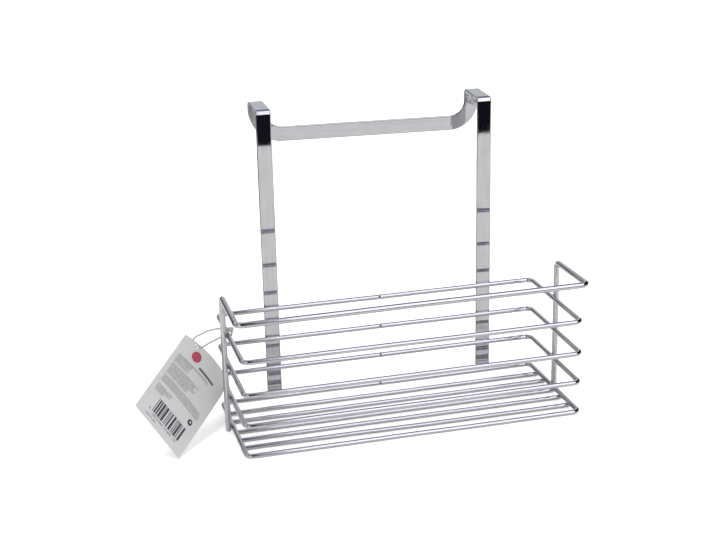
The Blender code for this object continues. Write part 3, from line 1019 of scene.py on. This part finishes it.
def make_dome():
    """What the chrome mirrors all round: a wide softbox in front and above, a grey wall behind."""
    made = bpy.data.materials.new("reflected_room")
    made.use_nodes = True
    made.node_tree.nodes.clear()
    n = Nodes(made.node_tree)
    unit = n.new("ShaderNodeVectorMath")
    unit.operation = "NORMALIZE"
    n.feed(unit.inputs[0], n.new("ShaderNodeTexCoord").outputs["Object"])
    parts = n.new("ShaderNodeSeparateXYZ")
    n.feed(parts.inputs[0], unit.outputs[0])
    # 0 is level in front, 0.5 straight up, 1 level behind; negative below the horizon.
    turn = n.math(
        "DIVIDE",
        n.math("ARCTAN2", parts.outputs[2], n.math("MULTIPLY", parts.outputs[1], -1.0)),
        math.pi,
    )
    ramp = n.tree.nodes.new("ShaderNodeValToRGB")
    ramp.color_ramp.interpolation = "LINEAR"
    n.feed(ramp.inputs[0], n.spread(turn, -1.0, 1.0, 0.0, 1.0))
    elements = ramp.color_ramp.elements
    while len(elements) < len(ROOM):
        elements.new(0.5)
    for element, (angle, colour) in zip(elements, ROOM):
        element.position = 0.5 + angle / 360
    for element, (angle, colour) in zip(elements, ROOM):
        element.color = (*(value / 2 for value in colour), 1)
    sideways = n.math("ABSOLUTE", parts.outputs[0])
    inside = n.spread(sideways, ROOM_HALF_WIDTH, ROOM_HALF_WIDTH + 0.08, 1.0, 0.0)
    # The softbox ends at the left; there the room is dark low down and dull above and far left.
    inside = n.math("MULTIPLY", inside, n.spread(parts.outputs[0], 0.157, 0.172, 0.0, 1.0))
    above = n.math("MULTIPLY", n.spread(turn, 72 / 180, 84 / 180, 0.0, 1.0), n.math("LESS_THAN", parts.outputs[0], 0.3))
    above = n.math("MAXIMUM", above, n.spread(parts.outputs[0], -0.45, -0.25, 0.35, 0.0))
    dull = n.mix(above, (0.012, 0.011, 0.017, 1), (0.36, 0.36, 0.40, 1))
    room = n.mix(inside, dull, ramp.outputs[0])
    # The wall behind gets darker to the left.
    rear = n.math("GREATER_THAN", n.math("ABSOLUTE", turn), 143 / 180)
    rear = n.math("MULTIPLY", rear, n.spread(parts.outputs[0], -0.10, 0.06, 1.0, 0.0))
    wall = n.mix(n.spread(parts.outputs[0], -0.44, -0.16, 0.0, 1.0), (0.05, 0.05, 0.048, 1), (0.25, 0.25, 0.26, 1))
    room = n.mix(rear, room, wall)
    lamp = n.new("ShaderNodeVectorMath")
    lamp.operation = "DOT_PRODUCT"
    n.feed(lamp.inputs[0], unit.outputs[0])
    n.feed(lamp.inputs[1], LAMP)
    light = n.new("ShaderNodeEmission", Strength=2.0)
    n.feed(
        light.inputs["Color"],
        n.mix(n.spread(lamp.outputs["Value"], 0.962, 0.978, 0.0, 1.0), room, (1.0, 1.0, 1.0, 1)),
    )
    out = n.new("ShaderNodeOutputMaterial")
    n.tree.links.new(light.outputs[0], out.inputs["Surface"])

    bm = bmesh.new()
    bmesh.ops.create_uvsphere(bm, u_segments=48, v_segments=24, radius=9.0)
    mesh = bpy.data.meshes.new("reflected_room")
    bm.to_mesh(mesh)
    bm.free()
    mesh.materials.append(made)
    dome = bpy.data.objects.new("reflected_room", mesh)
    bpy.context.scene.collection.objects.link(dome)
    dome.location = Vector((0.0, 0.0, 0.15)) - ORIGIN
    for rays in ("camera", "diffuse", "transmission", "volume_scatter", "shadow"):
        setattr(dome, "visible_" + rays, False)


LAMP = Vector((-0.58, -0.70, 0.40)).normalized()
DARK, SOFTBOX, CEILING, WALL = (0.010, 0.009, 0.015), (1.88, 1.84, 2.0), (0.25, 0.23, 0.38), (0.68, 0.71, 0.735)
ROOM = (
    (-180, WALL),
    (-150, WALL),
    (-140, DARK),
    (9.0, DARK),
    (10.5, SOFTBOX),
    (85, SOFTBOX),
    (88, CEILING),
    (140, CEILING),
    (150, (0.52, 0.53, 0.55)),
    (157, WALL),
    (180, WALL),
)
ROOM_HALF_WIDTH = 0.52


def make_studio():
    z, far = TABLE_Z, 12.0
    sweep = card_of_light(
        "sweep", ((-far, -far, z), (far, -far, z), (far, far, z), (-far, far, z)), SWEEP, glossy=False
    )
    # The table top as the chrome mirrors it, ending in front where the room is unlit.
    z += 0.0001
    left, right, back = -0.52, 1.5, 1.2
    card_of_light(
        "table",
        (
            (left, TABLE_FRONT + TABLE_SKEW * (left - 0.44), z),
            (right, TABLE_FRONT + TABLE_SKEW * (right - 0.44), z),
            (right, back, z),
            (left, back, z),
        ),
        TABLE,
        camera=False,
        diffuse=False,
        transmission=False,
        shadow=False,
    )
    make_dome()

    # The lamp over the card lights the sweep and only the card shades it.
    lamp = bpy.data.lights.new("card_lamp", "SUN")
    lamp.energy = 1.9
    lamp.angle = math.radians(24)
    over = bpy.data.objects.new("card_lamp", lamp)
    bpy.context.scene.collection.objects.link(over)
    over.rotation_euler = Vector((-0.70, -0.62, 2.6)).to_track_quat("Z", "Y").to_euler()
    lit, blockers = bpy.data.collections.new("card_lamp_lights"), bpy.data.collections.new("card_lamp_shaded")
    lit.objects.link(sweep)
    blockers.objects.link(bpy.data.objects["tag_card_print"])
    over.light_linking.receiver_collection = lit
    over.light_linking.blocker_collection = blockers

    world = bpy.data.worlds.new("studio")
    bpy.context.scene.world = world
    world.use_nodes = True
    light = world.node_tree.nodes["Background"]
    light.inputs["Color"].default_value = (1.0, 1.0, 1.0, 1)
    light.inputs["Strength"].default_value = 1.35


make_studio()

view = bpy.context.scene.view_settings
view.view_transform = "Standard"
view.look = "None"
view.exposure = 0.0
view.gamma = 1.0
